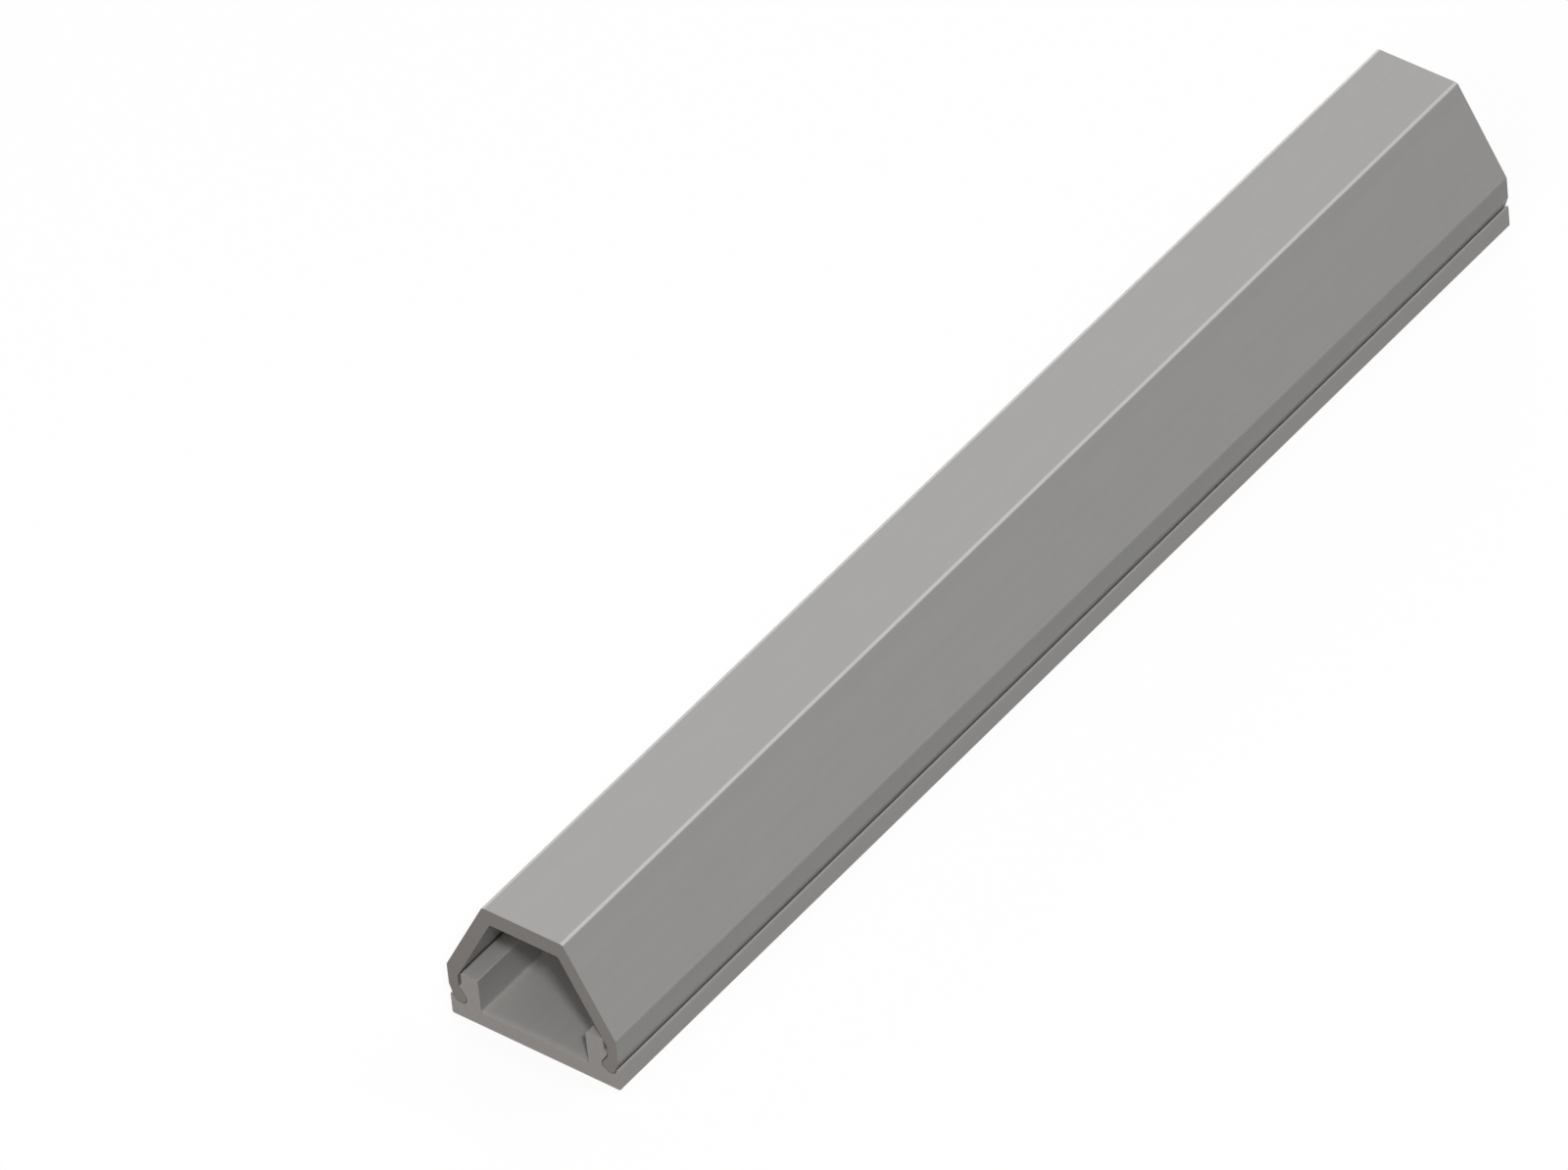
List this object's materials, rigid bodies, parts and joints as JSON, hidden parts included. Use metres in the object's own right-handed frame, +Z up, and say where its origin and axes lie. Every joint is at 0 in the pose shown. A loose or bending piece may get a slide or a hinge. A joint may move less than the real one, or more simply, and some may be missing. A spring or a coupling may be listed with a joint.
{
  "type": "cord cover raceway",
  "caption": "Straight two-piece cord cover raceway: a flat base channel with barbed side walls and a trapezoidal cover that snaps over them, open at both cut ends.",
  "frame": {"origin": "middle of the base's underside", "axes": "+X along the raceway, +Y across it, +Z up from the surface it is fixed to"},
  "size_m": [0.16, 0.0222, 0.018],
  "materials": {
    "base_vinyl": "satin",
    "cover_vinyl": "satin"
  },
  "bodies": {
    "root": {"base_channel": "base_vinyl", "snap_cover": "cover_vinyl"}
  },
  "joints": []
}
